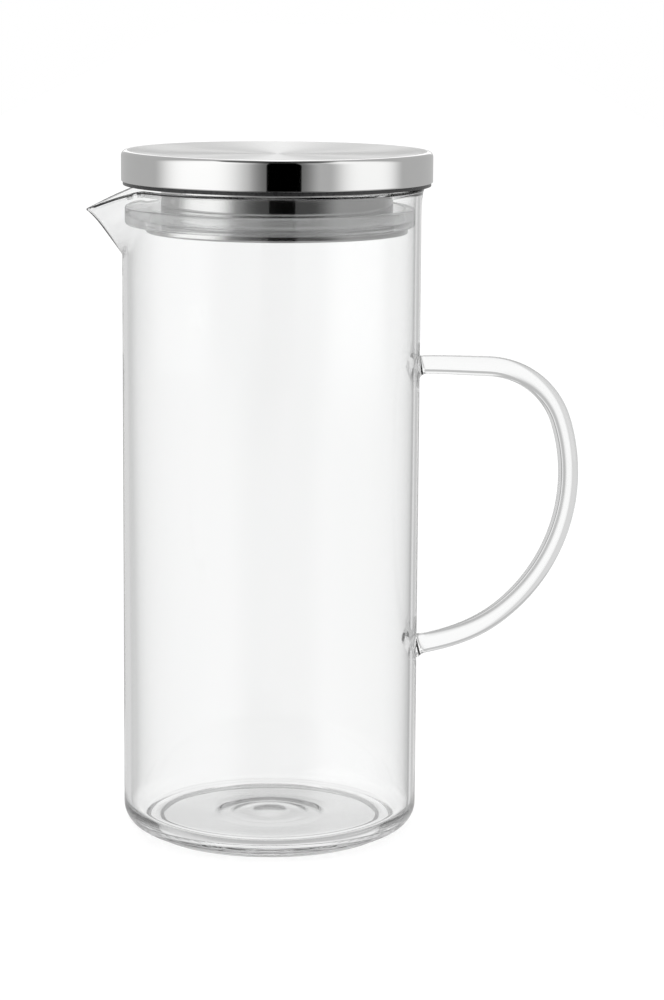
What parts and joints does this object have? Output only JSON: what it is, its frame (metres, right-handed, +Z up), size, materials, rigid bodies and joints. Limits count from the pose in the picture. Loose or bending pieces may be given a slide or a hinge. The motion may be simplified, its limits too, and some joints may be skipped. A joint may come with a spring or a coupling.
{
  "type": "glass jug with lid",
  "caption": "Straight clear glass jug with a drooping pouring spout, a fused glass rod handle and a lift-off steel lid with a polished rim and a soft seal.",
  "frame": {"origin": "centre of the foot ring on the table, on the axis of the glass body", "axes": "+Z up along the glass body's axis, the spout towards -X, the handle towards +X, the pictured side towards -Y"},
  "size_m": [0.1747, 0.1088, 0.2434],
  "materials": {
    "clear_glass": "clear, fire-polished",
    "lid_steel": "polished side, circular brushed top",
    "plug_steel": "polished",
    "dark_moulding": "smooth, satin",
    "silicone": "milky, translucent"
  },
  "bodies": {
    "jug": {"glass_body": "clear_glass", "glass_handle": "clear_glass", "upper_handle_weld": "clear_glass", "lower_handle_weld": "clear_glass"},
    "seal_ring": {"seal": "silicone"},
    "steel_lid": {"lid_cap": "lid_steel", "lid_base": "dark_moulding", "plug_neck": "plug_steel", "plug_bottom": "plug_steel", "lid_screws": "plug_steel"}
  },
  "joints": [
    {"name": "lid_lift", "type": "slide", "parent": "jug", "child": "seal_ring", "axis": [0, 0, 1], "range_m": [0, 0.06]},
    {"name": "lid_turn", "type": "hinge", "parent": "seal_ring", "child": "steel_lid", "pos_m": [0.0018, 0, 0.2315], "axis": [0, 0, 1], "continuous": true}
  ]
}
